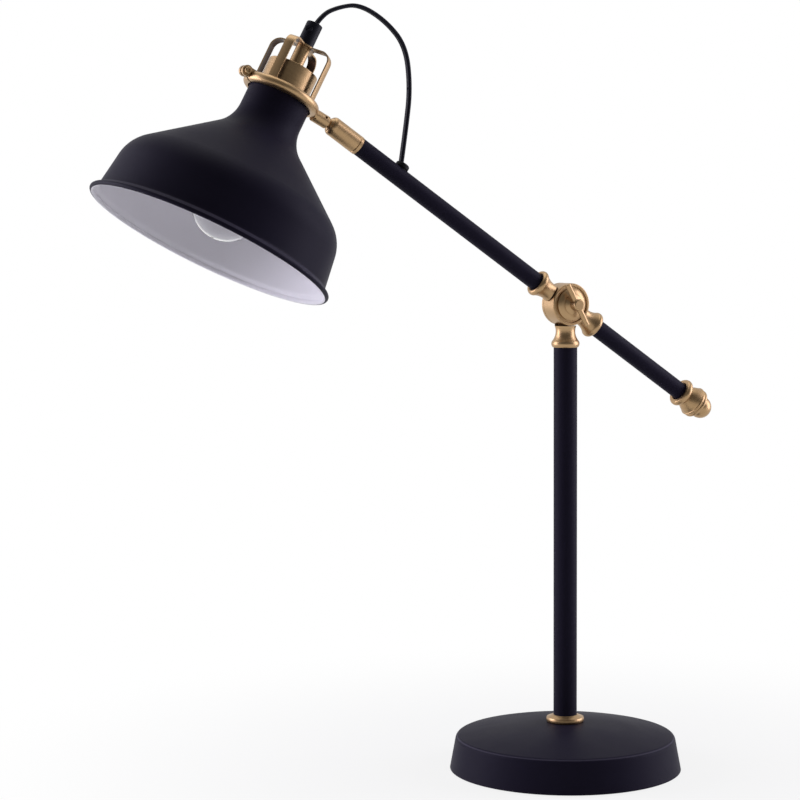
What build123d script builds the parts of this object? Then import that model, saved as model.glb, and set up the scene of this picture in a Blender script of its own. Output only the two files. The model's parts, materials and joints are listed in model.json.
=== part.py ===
"""Bedside lamp: weighted base, column, tilting counter arm with a clamp hub, ball joint and bell shade.

Millimetres, +Z up. The origin is the centre of the base on the surface that the lamp stands on.
The arm lies in the XZ plane, the shade hangs towards -X and the clamp handle faces -Y.
"""

import os
from math import atan2, cos, pi, radians, sin, sqrt, tan

from build123d import *

# Fits between pieces
slip = 0.05
running = 0.06
hand_gap = 0.3

# Base
base_radius = 94.0
base_edge_radius = 89.0
base_edge_height = 27.5
base_dome_rise = 11.5
base_edge_fillet = 4.0
base_wall = 1.5
base_lift = 0.8
pad_margin = 4.5
pad_thickness = 3.0
weight_thickness = 16.0
weight_margin = 3.2
weight_boss_radius = 15.0
weight_pocket_radius = 12.0
weight_pocket_depth = 12.5
weight_chamfer = 1.0
lead_channel_width = 8.0
outlet_height = 12.0
outlet_bore = 2.8
outlet_body_radius = 4.5
outlet_flange_radius = 6.5
outlet_flange_thickness = 2.2
outlet_flange_fillet = 0.9
outlet_tail = 3.0

# Column
column_radius = 9.5
column_wall = 1.2
rod_radius = 5.0
rod_grip = 26.0
rod_tail = 1.0
plug_length = 16.0
foot_collar_radius = 15.3
foot_collar_height = 5.8
foot_collar_wall = 3.8
foot_collar_edge = 0.4
foot_collar_ledge = 0.7
foot_collar_lip = 0.6
nut_across_flats = 17.0
nut_thickness = 5.0
washer_radius = 10.5
washer_thickness = 1.6

# Hub on top of the column
hub_height = 378.9
hub_half_width = 9.2
drum_radius = 17.0
drum_rim_width = 2.6
drum_groove_depth = 1.2
drum_edge_fillet = 0.8
back_disc_thickness = 3.4
parting_gap = 0.4
saddle_gap = 1.0
neck_length = 34.6
neck_mouth_radius = 10.2
neck_lip_radius = 11.4
neck_lip_height = 5.7
neck_waist_radius = 7.85
neck_waist_drop = 21.8
neck_top_radius = 8.7
neck_gap = 0.4
neck_recess = 2.6
pivot_boss_radius = 7.0
pivot_boss_length = 8.5
friction_washer_radius = 13.0
friction_washer_thickness = 1.0
clamp_shank_radius = 3.0
clamp_cap_radius = 12.7
clamp_cap_edge = 1.5
clamp_cap_dome = 2.2
clamp_cap_bulge_radius = 10.6
clamp_cap_bulge = 1.35
clamp_collar_radius = 8.0
clamp_collar_length = 2.6
clamp_collar_edge = 0.6
clamp_groove_depth = 0.9
clamp_groove_width = 0.6
clamp_head_radius = 4.75
clamp_head_length = 7.2
clamp_head_fillet = 1.2
clamp_bar_radius = 2.2
clamp_bar_length = 38.0
clamp_bar_fillet = 0.6
clamp_bar_angle = 61.0

# Arm
arm_angle = 33.9
arm_tube_radius = 7.1
arm_tube_wall = 1.0
ferrule_inner_radius = 7.7
ferrule_waist_radius = 7.3
ferrule_waist_station = 21.2
ferrule_lip_radius = 10.8
ferrule_end = 33.6
ferrule_land = 3.0
ferrule_lip_length = 5.0
ferrule_lip_rise = 0.9
ferrule_lip_crest = 1.9
ferrule_lip_round = 1.4
ferrule_socket = 6.5
ferrule_mouth_step = 1.1
nipple_radius = 3.0
nipple_bore = 1.8
nipple_start = 10.5
nipple_end = 24.5
tail_mouth = 133.9
tail_socket = 6.2
tail_spigot = 9.0
tail_flange_radius = 11.8
tail_flange_length = 5.2
tail_flange_crest = 2.1
tail_flange_round = 1.4
tail_flange_heel = 1.2
tail_waist_radius = 7.9
tail_waist = 141.3
tail_ring_radius = 12.8
tail_ring = 151.3
tail_ring_flare = 1.8
tail_ring_rise = 0.7
tail_ring_crest = 0.9
tail_cone_bulge = 0.5
tail_groove_depth = 1.0
tail_groove_width = 1.1
tail_bead_width = 2.6
tail_bead_crest = 1.2
tail_bead_drop = 0.3
tail_bead_step = 1.6
tail_ball_radius = 9.3
tail_ball = 159.4

# Ball joint at the head of the arm
cap_start = 224.5
cap_radius = 7.5
cap_bead = 2.4
cap_groove = 0.35
ball_radius = 6.3
ball_station = 250.0
cap_mouth_reach = 3.1
cap_lip = 0.5
cap_shoulder = 3.2
seat_length = 10.4
seat_drop = 2.8
end_plug_reach = 14.0
stub_reach = 49.13
stub_radius = 5.0
stub_start = 6.3
stub_taper = 0.6
stub_tail_inset = 1.0
stub_neck_radius = 3.6
stub_tail_radius = 2.4
stub_hole_radius = 1.2
stub_hole_station = 9.8
stub_hole_turn = 28.0
stub_pin_radius = 0.7
stub_pin_station = 17.6
stub_pin_turn = -37.0

# Shade, clamp ring and cage; heights are measured up the shade's axis from its rim
shade_tilt = 28.4
ring_height = 127.56
ring_depth = 7.8
ring_thickness = 5.0
ring_flat = 1.5
ring_split = 1.8
ear_radius = 4.2
ear_thickness = 2.6
ear_reach = 33.4
ear_rise = 1.3
ear_root = 1.0
ear_neck_width = 7.0
ear_screw_radius = 1.5
ear_head_radius = 2.8
ear_head_height = 2.2
ear_head_fillet = 0.9
ear_socket_radius = 1.3
ear_socket_depth = 1.3
ear_screw_tail = 1.0
ear_nut_across_flats = 5.0
ear_nut_thickness = 2.4
shade_neck_radius = 24.5
shade_neck_rise = 3.4
shade_neck_corner = 95.6
shade_shoulder_radius = 86.9
shade_shoulder_height = 44.0
shade_skirt_radius = 92.0
shade_skirt_end = 5.9
shade_lip_radius = 96.0
shade_lip_height = 2.0
shade_wall = 0.8
shade_neck_fillet = 26.8
shade_shoulder_fillet = 30.3
shade_lip_fillet = 3.0
shade_bead_radius = 1.9
shade_bead_inset = 0.75
shade_bead_drop = 0.3
cage_rise = 41.2
cage_strap_width = 7.0
cage_strap_thickness = 1.05
cage_corner_radius = 8.0
cage_plate_radius = 9.0
cage_turn = 41.0

# Lampholder and cord grip on the shade's axis
cup_radius = 19.6
cup_wall = 0.8
cup_edge_fillet = 0.6
cup_length = 42.5
spacer_length = 19.0
spacer_radius = 5.6
lamp_nipple_radius = 4.4
lamp_nipple_grip = 8.0
holder_recess = 5.5
holder_length = 60.0
holder_bore = 14.3
holder_fillet = 0.8
holder_core = 32.6
shell_wall = 0.6
shell_length = 22.0
contact_radius = 4.0
contact_height = 2.0
grip_radius = 6.3
grip_length = 19.0
grip_fillet = 0.7
grip_mouth_radius = 3.6
grip_mouth_depth = 5.0
grip_screw_height = 12.4
grip_screw_radius = 2.7
grip_screw_turn = -135.0
grip_screw_depth = 2.4
grip_screw_proud = 0.7
grip_slot_width = 0.7
grip_slot_depth = 0.8
grip_slot_turn = 30.0

# Bulb
bulb_radius = 27.5
bulb_reach = 47.0
bulb_glass_wall = 0.9
bulb_neck_radius = 12.6
bulb_neck_slope = 0.12
bulb_cap_radius = 13.1
bulb_cap_length = 26.0
bulb_cap_thread = 22.4
bulb_cap_shoulder_radius = 8.1
bulb_contact_height = 2.4
bulb_flank_angle = 31.6
bulb_contact_radius = 4.6
bulb_contact_tip = 3.2
bulb_stem_radius = 4.2
bulb_stem_length = 26.0
bulb_stem_flare = 9.1
filament_count = 4
filament_length = 26.0
filament_radius = 0.8
filament_spread = 7.5

# Cord and leads
cord_width = 5.2
cord_thickness = 3.4
cord_arc_share = 0.45
lead_radius = 2.3
lead_gap = 1.0
grommet_station = 184.3
grommet_flange_radius = 5.6
grommet_height = 3.4
grommet_fillet = 1.5
grommet_body_radius = 4.4
grommet_tail = 0.6
cord_upper_route = [
    (-224.0, 591.1), (-216.1, 602.1), (-202.0, 608.1), (-184.6, 610.8), (-162.1, 599.1), (-153.35, 589.7),
]
cord_lower_route = [(-153.35, 589.7), (-144.6, 580.3), (-141.0, 548.6), (-144.9, 518.0), (-149.6, 489.3)]

# Frames that the pieces are drawn in
hub_centre = Vector(0, 0, hub_height)
arm_dir = Vector(-cos(radians(arm_angle)), 0, sin(radians(arm_angle)))
arm_up = Vector(sin(radians(arm_angle)), 0, cos(radians(arm_angle)))
shade_up = Vector(sin(radians(shade_tilt)), 0, cos(radians(shade_tilt)))
stub_dir = Vector(-cos(radians(shade_tilt)), 0, sin(radians(shade_tilt)))
ball_centre = hub_centre + arm_dir * ball_station
ring_centre = ball_centre + stub_dir * stub_reach
rim_centre = ring_centre - shade_up * ring_height

stand_plane = Plane.XZ
arm_plane = Plane(origin=hub_centre, x_dir=arm_dir, z_dir=(0, 1, 0))
tail_plane = Plane(origin=hub_centre, x_dir=-arm_dir, z_dir=(0, -1, 0))
pivot_plane = Plane(origin=hub_centre, x_dir=(0, -1, 0), z_dir=(-1, 0, 0))
stub_plane = Plane(origin=ball_centre, x_dir=stub_dir, z_dir=(0, 1, 0))
head_plane = Plane(origin=rim_centre, x_dir=-stub_dir, z_dir=(0, -1, 0))
head_side_plane = Plane(origin=rim_centre, x_dir=(0, 1, 0), z_dir=-stub_dir)
head_base = Plane(origin=rim_centre, x_dir=-stub_dir, z_dir=shade_up)

arm_axis = Axis(hub_centre, arm_dir)
pivot_axis = Axis(hub_centre, (0, -1, 0))
stub_axis = Axis(ball_centre, stub_dir)
head_axis = Axis(rim_centre, shade_up)

# Sizes worked out from the ones above
base_apex = base_edge_height + base_dome_rise
dome_radius = (base_edge_radius**2 + base_dome_rise**2) / (2 * base_dome_rise)
column_bore = column_radius - column_wall
arm_tube_bore = arm_tube_radius - arm_tube_wall
neck_bottom = hub_height - neck_length
neck_top = hub_height - drum_radius - neck_gap
column_top = neck_bottom + neck_recess
back_disc_front = back_disc_thickness - hub_half_width
drum_back = back_disc_front + parting_gap
drum_floor = hub_half_width - drum_groove_depth
saddle_radius = drum_radius + saddle_gap
cap_mouth = ball_station + cap_mouth_reach
cap_bore = ball_radius + running + slip
ring_bore = shade_neck_radius + cage_strap_thickness + 2 * slip
ring_radius = ring_bore + ring_thickness
ring_bottom = ring_height - ring_depth / 2
ring_top = ring_height + ring_depth / 2
shade_neck_top = ring_height + shade_neck_rise
cage_top = ring_height + cage_rise
cup_top = cage_top - spacer_length
cup_bottom = cup_top - cup_length
holder_top = cup_top - holder_recess
holder_bottom = holder_top - holder_length
holder_floor = holder_top - holder_core
bulb_contact_top = holder_floor - contact_height
bulb_neck = bulb_contact_top - bulb_contact_height - bulb_cap_length
bulb_centre = bulb_neck - bulb_reach
lead_bore = lead_radius + hand_gap
weight_top = pad_thickness + weight_thickness
pad_radius = base_radius - base_wall - pad_margin
wall_slope = atan2(base_radius - base_edge_radius, base_edge_height - base_lift)
wall_across = base_wall / cos(wall_slope)

os.makedirs("parts", exist_ok=True)


def outline(plane, *points):
    """A closed outline of straight runs on a plane, ready to turn or extrude."""
    with BuildSketch(plane) as drawn:
        with BuildLine():
            Polyline(*points, close=True)
        make_face()
    return drawn.sketch


def dome_height(radius, inset=0.0):
    """Height of the base's domed top, or of the skin inset below it, at a radius."""
    return base_apex - dome_radius + sqrt((dome_radius - inset) ** 2 - radius**2)


def wall_radius(height):
    """Outside radius of the base's tapered wall at a height."""
    return base_radius - (height - base_lift) * tan(wall_slope)


def base_section(inset):
    """Half section of the base: tapered wall, rounded edge and domed top, drawn inset from the outside."""
    foot = base_radius - inset
    edge = base_edge_radius - inset
    with BuildSketch(stand_plane) as drawn:
        with BuildLine():
            floor = Line((0, base_lift), (foot, base_lift))
            side = Line(floor @ 1, (edge, dome_height(edge, inset)))
            dome = ThreePointArc(
                side @ 1,
                (edge / 2, dome_height(edge / 2, inset)),
                (0, dome_height(0, inset)),
            )
            Line(dome @ 1, floor @ 0)
        make_face()
        fillet(drawn.vertices().sort_by(Axis.X)[-2], base_edge_fillet - inset)
    return drawn.sketch


def save(builder, name):
    """Label a finished piece and write it."""
    builder.part.label = name
    export_step(builder.part, f"parts/{name}.step")


# Base shell, open underneath, with holes for the column rod and the cord outlet
outlet_wall = wall_radius(outlet_height)
outlet_plane = Plane(
    origin=(outlet_wall, 0, outlet_height),
    x_dir=(0, 1, 0),
    z_dir=(cos(wall_slope), 0, sin(wall_slope)),
)
with BuildPart() as base_shell:
    revolve(base_section(0), axis=Axis.Z)
    revolve(base_section(base_wall), axis=Axis.Z, mode=Mode.SUBTRACT)
    with BuildSketch(Plane.XY):
        Circle(rod_radius + slip)
    extrude(amount=base_apex, mode=Mode.SUBTRACT)
    with BuildSketch(outlet_plane):
        Circle(outlet_body_radius + slip)
    extrude(amount=base_wall * 3, both=True, mode=Mode.SUBTRACT)
save(base_shell, "base_shell")

# Cast weight in the base, with a pocket for the rod's nut and a channel for the mains lead underneath
weight_room = min(outlet_wall - outlet_tail, wall_radius(weight_top))
weight_radius = weight_room - wall_across - weight_margin
boss_top = dome_height(weight_boss_radius, base_wall) - slip
with BuildPart() as base_weight:
    revolve(
        outline(
            stand_plane,
            (rod_radius + slip, pad_thickness + weight_pocket_depth),
            (weight_pocket_radius, pad_thickness + weight_pocket_depth),
            (weight_pocket_radius, pad_thickness),
            (weight_radius, pad_thickness),
            (weight_radius, weight_top),
            (weight_boss_radius, weight_top),
            (weight_boss_radius, boss_top),
            (rod_radius + slip, boss_top),
        ),
        axis=Axis.Z,
    )
    chamfer(base_weight.edges().filter_by(GeomType.CIRCLE).sort_by(SortBy.RADIUS)[-2:], weight_chamfer)
    with BuildSketch(Plane.XY.offset(pad_thickness)):
        with Locations((weight_radius / 2, 0)):
            Rectangle(weight_radius, lead_channel_width)
    extrude(amount=weight_pocket_depth, mode=Mode.SUBTRACT)
save(base_weight, "base_weight")

# Floor pad
with BuildPart() as base_pad:
    with BuildSketch(Plane.XY):
        Circle(pad_radius)
    extrude(amount=pad_thickness)
save(base_pad, "base_pad")

# Cord outlet bush in the back of the base
with BuildPart() as cord_outlet_bush:
    with BuildSketch(outlet_plane):
        Circle(outlet_flange_radius)
    extrude(amount=outlet_flange_thickness)
    fillet(cord_outlet_bush.faces().sort_by(Axis.X)[-1].edges(), outlet_flange_fillet)
    with BuildSketch(outlet_plane):
        Circle(outlet_body_radius)
    extrude(amount=-(base_wall + outlet_tail))
    with BuildSketch(outlet_plane.offset(outlet_flange_thickness)):
        Circle(outlet_bore)
    extrude(amount=-(outlet_flange_thickness + base_wall + outlet_tail), mode=Mode.SUBTRACT)
save(cord_outlet_bush, "cord_outlet_bush")

# Hollow threaded rod that ties the column to the base
pocket_roof = pad_thickness + weight_pocket_depth
column_foot = base_apex + slip
rod_bottom = pocket_roof - washer_thickness - nut_thickness - rod_tail
rod_top = column_foot + rod_grip
with BuildPart() as column_rod:
    with BuildSketch(Plane.XY.offset(rod_bottom)):
        Circle(rod_radius)
        Circle(lead_bore, mode=Mode.SUBTRACT)
    extrude(amount=rod_top - rod_bottom)
save(column_rod, "column_rod")

with BuildPart() as column_washer:
    with BuildSketch(Plane.XY.offset(pocket_roof - washer_thickness)):
        Circle(washer_radius)
        Circle(rod_radius + slip, mode=Mode.SUBTRACT)
    extrude(amount=washer_thickness)
save(column_washer, "column_washer")

with BuildPart() as column_nut:
    with BuildSketch(Plane.XY.offset(pocket_roof - washer_thickness - nut_thickness)):
        RegularPolygon(nut_across_flats / 2, 6, major_radius=False)
        Circle(rod_radius + slip, mode=Mode.SUBTRACT)
    extrude(amount=nut_thickness)
save(column_nut, "column_nut")

# Column tube and the two threaded plugs in its ends
with BuildPart() as column_tube:
    with BuildSketch(Plane.XY.offset(column_foot)):
        Circle(column_radius)
        Circle(column_bore, mode=Mode.SUBTRACT)
    extrude(amount=column_top - column_foot)
save(column_tube, "column_tube")

with BuildPart() as column_foot_plug:
    with BuildSketch(Plane.XY.offset(rod_top - plug_length)):
        Circle(column_bore - slip)
        Circle(rod_radius + slip, mode=Mode.SUBTRACT)
    extrude(amount=plug_length)
save(column_foot_plug, "column_foot_plug")

with BuildPart() as column_top_plug:
    with BuildSketch(Plane.XY.offset(column_top - plug_length)):
        Circle(column_bore - slip)
        Circle(rod_radius + slip, mode=Mode.SUBTRACT)
    extrude(amount=plug_length)
save(column_top_plug, "column_top_plug")

# Hollow nipple from the column's top plug up into the hub's neck
hub_bore_top = neck_bottom + neck_recess + (neck_length - neck_waist_drop)
with BuildPart() as column_nipple:
    with BuildSketch(Plane.XY.offset(column_top - plug_length)):
        Circle(rod_radius)
        Circle(lead_bore, mode=Mode.SUBTRACT)
    extrude(amount=hub_bore_top - slip - (column_top - plug_length))
save(column_nipple, "column_nipple")

# Foot collar: a short upright wall with a sloping top round the foot of the column
collar_foot = dome_height(column_radius) + slip
collar_wall = collar_foot + foot_collar_wall
collar_top = collar_foot + foot_collar_height
collar_bore = column_radius + slip
with BuildPart() as foot_collar:
    with BuildSketch(stand_plane):
        with BuildLine():
            under = Line((collar_bore, collar_foot), (foot_collar_radius - foot_collar_edge, collar_foot))
            wall = ThreePointArc(
                under @ 1,
                (foot_collar_radius, collar_foot + foot_collar_wall / 2),
                (foot_collar_radius - foot_collar_edge, collar_wall),
            )
            ledge = Line(wall @ 1, (foot_collar_radius - foot_collar_edge - foot_collar_ledge, collar_wall))
            slope = Line(ledge @ 1, (collar_bore + foot_collar_lip, collar_top))
            top = Line(slope @ 1, (collar_bore, collar_top))
            Line(top @ 1, under @ 0)
        make_face()
    revolve(axis=Axis.Z)
save(foot_collar, "foot_collar")

# Hub body: turned neck, cut away in front for the drum, back disc and the boss that the drum turns on
drum_room = 3 * hub_half_width
with BuildPart() as hub_body:
    with BuildSketch(stand_plane):
        with BuildLine():
            rise = Line((0, neck_bottom), (neck_mouth_radius, neck_bottom))
            lip = ThreePointArc(
                rise @ 1,
                (neck_lip_radius, neck_bottom + neck_lip_height / 2),
                (neck_mouth_radius, neck_bottom + neck_lip_height),
            )
            waist = Spline(
                lip @ 1,
                (neck_waist_radius, hub_height - neck_waist_drop),
                (neck_top_radius, neck_top),
            )
            inside = Line(waist @ 1, (neck_top_radius, hub_height - pivot_boss_radius))
            shut = Line(inside @ 1, (0, hub_height - pivot_boss_radius))
            Line(shut @ 1, rise @ 0)
        make_face()
    revolve(axis=Axis.Z)
    with BuildSketch(Plane.XY.offset(neck_bottom)):
        Circle(column_radius + slip)
    extrude(amount=neck_recess, mode=Mode.SUBTRACT)
    with BuildSketch(Plane.XY.offset(neck_bottom)):
        Circle(rod_radius + slip)
    extrude(amount=hub_bore_top - neck_bottom, mode=Mode.SUBTRACT)
    with BuildSketch(Plane.XY.offset(neck_top)):
        with Locations((0, -back_disc_front - drum_room / 2)):
            Rectangle(2 * saddle_radius, drum_room)
    extrude(amount=2 * saddle_radius, mode=Mode.SUBTRACT)
    revolve(
        outline(
            pivot_plane,
            (-hub_half_width, 0),
            (-hub_half_width, drum_radius - drum_edge_fillet),
            (-hub_half_width + drum_edge_fillet, drum_radius),
            (back_disc_front, drum_radius),
            (back_disc_front, pivot_boss_radius),
            (back_disc_front + pivot_boss_length, pivot_boss_radius),
            (back_disc_front + pivot_boss_length, 0),
        ),
        axis=pivot_axis,
    )
    revolve(
        outline(
            pivot_plane,
            (-2 * hub_half_width, 0),
            (-2 * hub_half_width, clamp_shank_radius + running),
            (2 * hub_half_width, clamp_shank_radius + running),
            (2 * hub_half_width, 0),
        ),
        axis=pivot_axis,
        mode=Mode.SUBTRACT,
    )
save(hub_body, "hub_body")

# Friction washer between the back disc and the drum
with BuildPart() as friction_washer:
    revolve(
        outline(
            pivot_plane,
            (back_disc_front, pivot_boss_radius + slip),
            (back_disc_front, friction_washer_radius),
            (back_disc_front + friction_washer_thickness, friction_washer_radius),
            (back_disc_front + friction_washer_thickness, pivot_boss_radius + slip),
        ),
        axis=pivot_axis,
    )
save(friction_washer, "friction_washer")

# Drum on the arm: raised rim, groove and seat in front, running bore for the boss behind
washer_seat = back_disc_front + friction_washer_thickness + slip
boss_roof = back_disc_front + pivot_boss_length + hand_gap
rim_inside = drum_radius - drum_rim_width
with BuildPart() as arm_drum:
    revolve(
        outline(
            pivot_plane,
            (drum_back, drum_radius),
            (hub_half_width, drum_radius),
            (hub_half_width, rim_inside),
            (drum_floor, rim_inside),
            (drum_floor, clamp_shank_radius + hand_gap),
            (boss_roof, clamp_shank_radius + hand_gap),
            (boss_roof, pivot_boss_radius + running),
            (washer_seat, pivot_boss_radius + running),
            (washer_seat, friction_washer_radius + hand_gap),
            (drum_back, friction_washer_radius + hand_gap),
        ),
        axis=pivot_axis,
    )
    fillet(arm_drum.faces().sort_by(Axis.Y)[0].edges(), drum_edge_fillet)
    with BuildSketch(Plane(origin=hub_centre + arm_dir * nipple_start, z_dir=arm_dir)):
        Circle(nipple_radius + slip)
    extrude(amount=drum_radius, mode=Mode.SUBTRACT)
    with BuildSketch(Plane(origin=hub_centre - arm_dir * nipple_start, z_dir=-arm_dir)):
        Circle(nipple_radius + slip)
    extrude(amount=drum_radius, mode=Mode.SUBTRACT)
save(arm_drum, "arm_drum")

# Threaded nipples that join the ferrules to the drum
for name, plane in (("front_nipple", arm_plane), ("rear_nipple", tail_plane)):
    with BuildPart() as nipple:
        revolve(
            outline(
                plane,
                (nipple_start, nipple_bore),
                (nipple_start, nipple_radius),
                (nipple_end, nipple_radius),
                (nipple_end, nipple_bore),
            ),
            axis=arm_axis,
        )
    save(nipple, name)

# Trumpet ferrules, saddle cut to clear the drum
ferrule_socket_floor = ferrule_end - ferrule_socket
ferrule_lip_start = ferrule_end - ferrule_lip_length
for name, plane in (("front_ferrule", arm_plane), ("rear_ferrule", tail_plane)):
    with BuildPart() as ferrule:
        with BuildSketch(plane):
            with BuildLine():
                back = Line((nipple_start, nipple_radius + slip), (nipple_start, ferrule_inner_radius))
                run = Line(back @ 1, (saddle_radius - ferrule_land, ferrule_inner_radius))
                cove = Spline(
                    run @ 1,
                    (ferrule_waist_station, ferrule_waist_radius),
                    (ferrule_lip_start, ferrule_lip_radius - ferrule_lip_rise),
                )
                lip = ThreePointArc(
                    cove @ 1,
                    (ferrule_end - ferrule_lip_crest, ferrule_lip_radius),
                    (ferrule_end, ferrule_lip_radius - ferrule_lip_round),
                )
                Polyline(
                    lip @ 1,
                    (ferrule_end, arm_tube_radius + slip + ferrule_mouth_step),
                    (ferrule_end - ferrule_mouth_step, arm_tube_radius + slip),
                    (ferrule_socket_floor, arm_tube_radius + slip),
                    (ferrule_socket_floor, nipple_radius + slip),
                    back @ 0,
                )
            make_face()
        revolve(axis=arm_axis)
        revolve(
            outline(
                pivot_plane,
                (-2 * hub_half_width, 0),
                (-2 * hub_half_width, saddle_radius),
                (2 * hub_half_width, saddle_radius),
                (2 * hub_half_width, 0),
            ),
            axis=pivot_axis,
            mode=Mode.SUBTRACT,
        )
    save(ferrule, name)

# Arm tubes; the front one has the grommet's hole in its top
tube_start = ferrule_socket_floor + slip
grommet_plane = Plane(
    origin=hub_centre + arm_dir * grommet_station + arm_up * arm_tube_radius, x_dir=arm_dir, z_dir=arm_up
)
with BuildPart() as front_arm_tube:
    revolve(
        outline(
            arm_plane,
            (tube_start, arm_tube_bore),
            (tube_start, arm_tube_radius),
            (cap_start - slip, arm_tube_radius),
            (cap_start - slip, arm_tube_bore),
        ),
        axis=arm_axis,
    )
    with BuildSketch(grommet_plane):
        Circle(grommet_body_radius + slip)
    extrude(amount=arm_tube_wall * 3, both=True, mode=Mode.SUBTRACT)
save(front_arm_tube, "front_arm_tube")

with BuildPart() as rear_arm_tube:
    revolve(
        outline(
            tail_plane,
            (tube_start, arm_tube_bore),
            (tube_start, arm_tube_radius),
            (tail_mouth + tail_socket - slip, arm_tube_radius),
            (tail_mouth + tail_socket - slip, arm_tube_bore),
        ),
        axis=arm_axis,
    )
save(rear_arm_tube, "rear_arm_tube")

# Tail finial: flange, swelling cone, double bead ring and ball, with a spigot inside the tube
cone_end = tail_ring - tail_ring_flare
cone_radius = tail_ring_radius - tail_ring_rise
tail_bead = tail_ring + tail_groove_width
ball_dip = tail_bead + tail_bead_width
ball_dip_radius = sqrt(tail_ball_radius**2 - (tail_ball - ball_dip) ** 2)
tail_socket_floor = tail_mouth + tail_socket
with BuildPart() as tail_finial:
    with BuildSketch(tail_plane):
        with BuildLine():
            spigot = Polyline(
                (tail_mouth - tail_spigot, 0),
                (tail_mouth - tail_spigot, arm_tube_bore - slip),
                (tail_socket_floor, arm_tube_bore - slip),
                (tail_socket_floor, arm_tube_radius + slip),
                (tail_mouth + ferrule_mouth_step, arm_tube_radius + slip),
                (tail_mouth, arm_tube_radius + slip + ferrule_mouth_step),
                (tail_mouth, tail_flange_radius - tail_flange_round),
            )
            flange = ThreePointArc(
                spigot @ 1,
                (tail_mouth + tail_flange_crest, tail_flange_radius),
                (tail_mouth + tail_flange_length, tail_flange_radius - tail_flange_heel),
            )
            heel = Line(flange @ 1, (tail_waist, tail_waist_radius))
            cone = ThreePointArc(
                heel @ 1,
                ((tail_waist + cone_end) / 2, (tail_waist_radius + cone_radius) / 2 + tail_cone_bulge),
                (cone_end, cone_radius),
            )
            ring = ThreePointArc(
                cone @ 1,
                (tail_ring - tail_ring_crest, tail_ring_radius),
                (tail_ring, tail_ring_radius - tail_groove_depth),
            )
            groove = Line(ring @ 1, (tail_bead, tail_ring_radius - tail_groove_depth))
            bead = ThreePointArc(
                groove @ 1,
                (tail_bead + tail_bead_crest, tail_ring_radius - tail_bead_drop),
                (ball_dip, ball_dip_radius + tail_bead_step),
            )
            shoulder = Line(bead @ 1, (ball_dip, ball_dip_radius))
            end = ThreePointArc(
                shoulder @ 1,
                (tail_ball + tail_ball_radius * sin(pi / 4), tail_ball_radius * cos(pi / 4)),
                (tail_ball + tail_ball_radius, 0),
            )
            Line(end @ 1, spigot @ 0)
        make_face()
    revolve(axis=arm_axis)
save(tail_finial, "tail_finial")

# Clamp: domed pressure cap, screw with a collar and head, and the T bar
cap_back = drum_floor + slip
cap_edge = cap_back + clamp_cap_edge
cap_crown = cap_edge + clamp_cap_dome
collar_front = cap_crown + clamp_collar_length
head_front = collar_front + clamp_head_length
shank_back = -hub_half_width + slip
bar_front = collar_front + clamp_head_length / 2
with BuildPart() as clamp_cap:
    with BuildSketch(pivot_plane):
        with BuildLine():
            seat = Line((cap_back, clamp_shank_radius + slip), (cap_back, clamp_cap_radius))
            edge = Line(seat @ 1, (cap_edge, clamp_cap_radius))
            dome = ThreePointArc(
                edge @ 1,
                (cap_edge + clamp_cap_bulge, clamp_cap_bulge_radius),
                (cap_crown, clamp_collar_radius),
            )
            crown = Line(dome @ 1, (cap_crown, clamp_shank_radius + slip))
            Line(crown @ 1, seat @ 0)
        make_face()
    revolve(axis=pivot_axis)
save(clamp_cap, "clamp_cap")

bar_dir = Vector(cos(radians(clamp_bar_angle)), 0, -sin(radians(clamp_bar_angle)))
bar_plane = Plane(origin=hub_centre + Vector(0, -bar_front, 0), z_dir=bar_dir)
with BuildPart() as clamp_screw:
    revolve(
        outline(
            pivot_plane,
            (shank_back, 0),
            (shank_back, clamp_shank_radius),
            (cap_crown + slip, clamp_shank_radius),
            (cap_crown + slip, clamp_collar_radius),
            (cap_crown + slip + clamp_collar_edge, clamp_collar_radius),
            (collar_front, clamp_head_radius - clamp_groove_depth),
            (collar_front + clamp_groove_width, clamp_head_radius),
            (head_front, clamp_head_radius),
            (head_front, 0),
        ),
        axis=pivot_axis,
    )
    fillet(clamp_screw.faces().sort_by(Axis.Y)[0].edges(), clamp_head_fillet)
    with BuildSketch(bar_plane):
        Circle(clamp_bar_radius + slip)
    extrude(amount=clamp_bar_length, both=True, mode=Mode.SUBTRACT)
save(clamp_screw, "clamp_screw")

with BuildPart() as clamp_bar:
    with BuildSketch(bar_plane):
        Circle(clamp_bar_radius)
    extrude(amount=clamp_bar_length / 2, both=True)
    fillet(clamp_bar.edges().filter_by(GeomType.CIRCLE), clamp_bar_fillet)
save(clamp_bar, "clamp_bar")

# Ball joint: end plug in the tube, socket cap, sliding seat behind the ball, and the ball stud
seat_front = ball_station - seat_drop
seat_back = seat_front - seat_length
with BuildPart() as end_plug:
    revolve(
        outline(
            arm_plane,
            (cap_start - end_plug_reach, 0),
            (cap_start - end_plug_reach, arm_tube_bore - slip),
            (cap_start, arm_tube_bore - slip),
            (cap_start, cap_bore - slip),
            (seat_back - slip, cap_bore - slip),
            (seat_back - slip, 0),
        ),
        axis=arm_axis,
    )
save(end_plug, "end_plug")

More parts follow.
